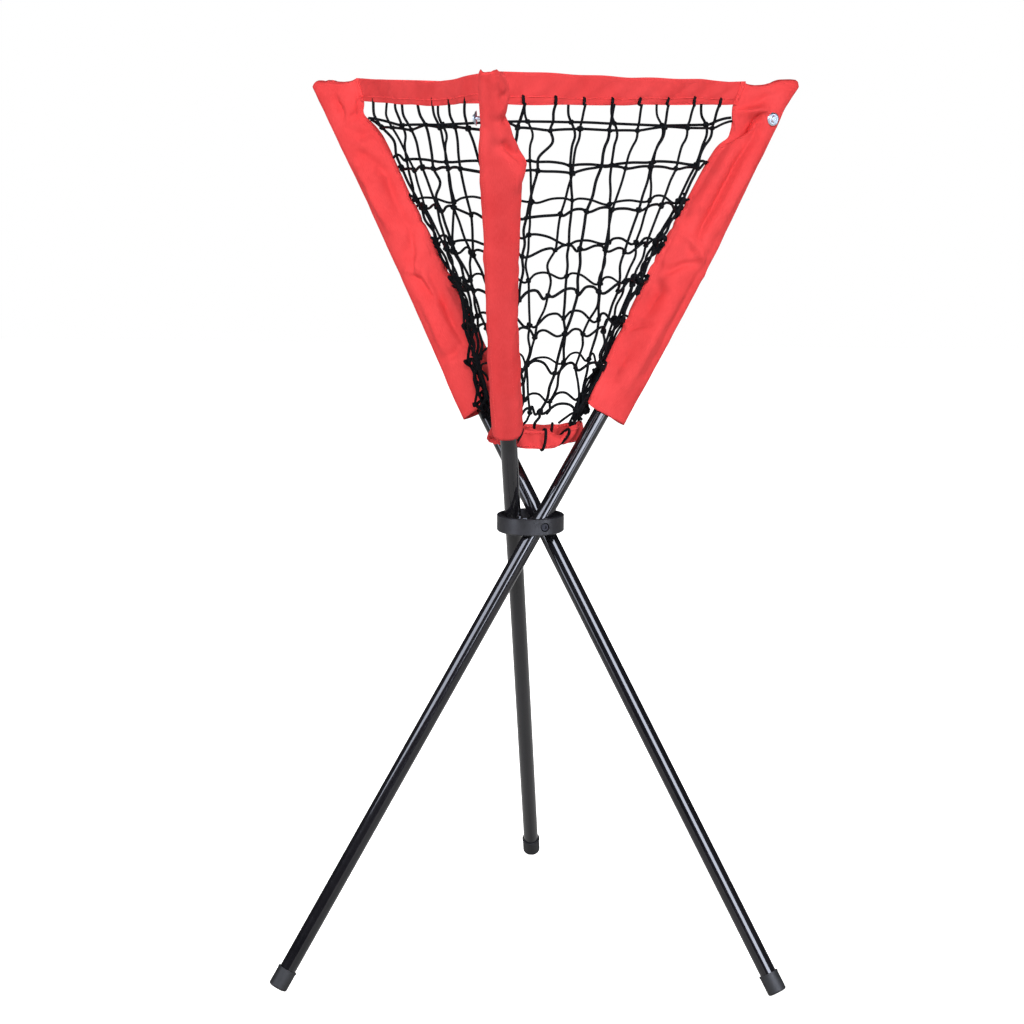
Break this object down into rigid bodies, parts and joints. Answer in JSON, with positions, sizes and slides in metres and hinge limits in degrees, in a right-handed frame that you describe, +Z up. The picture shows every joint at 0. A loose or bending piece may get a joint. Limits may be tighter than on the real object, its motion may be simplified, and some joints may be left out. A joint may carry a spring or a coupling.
{
  "type": "ball caddy",
  "caption": "Folding tripod ball caddy: crossed tubes pinned in a hub ring spread a knotted net basket held by fabric sleeves and rim bands.",
  "frame": {"origin": "on the ground, directly below the axis of the hub ring", "axes": "+Z up along the ring's axis; -Y towards the side that the leg_c sleeve leans to; +X to the right seen from there"},
  "size_m": [0.4922, 0.5651, 0.8569],
  "materials": {
    "tube_paint": "gloss",
    "ring_plastic": "satin",
    "saddle_plastic": "satin",
    "cap_rubber": "matte",
    "black_screw": "satin",
    "nut_steel": "satin",
    "bright_steel": "polished",
    "red_fabric": "woven",
    "net_cord": "braided"
  },
  "bodies": {
    "hub": {"hub_ring": "ring_plastic", "pivot_screw_a": "black_screw", "pivot_nut_a": "nut_steel", "pivot_screw_b": "black_screw", "pivot_nut_b": "nut_steel", "pivot_screw_c": "black_screw", "pivot_nut_c": "nut_steel", "rim_band_ab": "red_fabric", "net_panel_ab": "net_cord", "hem_band_ab": "red_fabric", "rim_band_bc": "red_fabric", "net_panel_bc": "net_cord", "hem_band_bc": "red_fabric", "rim_band_ca": "red_fabric", "net_panel_ca": "net_cord", "hem_band_ca": "red_fabric"},
    "leg_a": {"outer_saddle_a": "saddle_plastic", "inner_saddle_a": "saddle_plastic", "leg_tube_a": "tube_paint", "foot_cap_a": "cap_rubber", "tube_plug_a": "saddle_plastic", "sleeve_a": "red_fabric", "rivet_washer_a": "bright_steel", "sleeve_rivet_a": "bright_steel"},
    "leg_b": {"outer_saddle_b": "saddle_plastic", "inner_saddle_b": "saddle_plastic", "leg_tube_b": "tube_paint", "foot_cap_b": "cap_rubber", "tube_plug_b": "saddle_plastic", "sleeve_b": "red_fabric", "rivet_washer_b": "bright_steel", "sleeve_rivet_b": "bright_steel"},
    "leg_c": {"outer_saddle_c": "saddle_plastic", "inner_saddle_c": "saddle_plastic", "leg_tube_c": "tube_paint", "foot_cap_c": "cap_rubber", "tube_plug_c": "saddle_plastic", "sleeve_c": "red_fabric", "rivet_washer_c": "bright_steel", "sleeve_rivet_c": "bright_steel"}
  },
  "joints": [
    {"name": "leg_a_fold", "type": "hinge", "parent": "hub", "child": "leg_a", "pos_m": [0.0085, -0.01472, 0.43293], "axis": [0.5, -0.866, 0], "range_deg": [0, 27], "deforming": ["rim_band_ab", "net_panel_ab", "hem_band_ab"]},
    {"name": "leg_b_fold", "type": "hinge", "parent": "hub", "child": "leg_b", "pos_m": [0.0085, 0.01472, 0.43293], "axis": [0.5, 0.866, 0], "range_deg": [0, 27], "deforming": ["rim_band_bc", "net_panel_bc", "hem_band_bc"]},
    {"name": "leg_c_fold", "type": "hinge", "parent": "hub", "child": "leg_c", "pos_m": [-0.017, 0, 0.43293], "axis": [-1, 0, 0], "range_deg": [0, 27], "deforming": ["rim_band_ca", "net_panel_ca", "hem_band_ca"]}
  ],
  "couplings": [
    {"joint": "leg_b_fold", "follows": "leg_a_fold", "ratio": 1},
    {"joint": "leg_c_fold", "follows": "leg_a_fold", "ratio": 1}
  ]
}
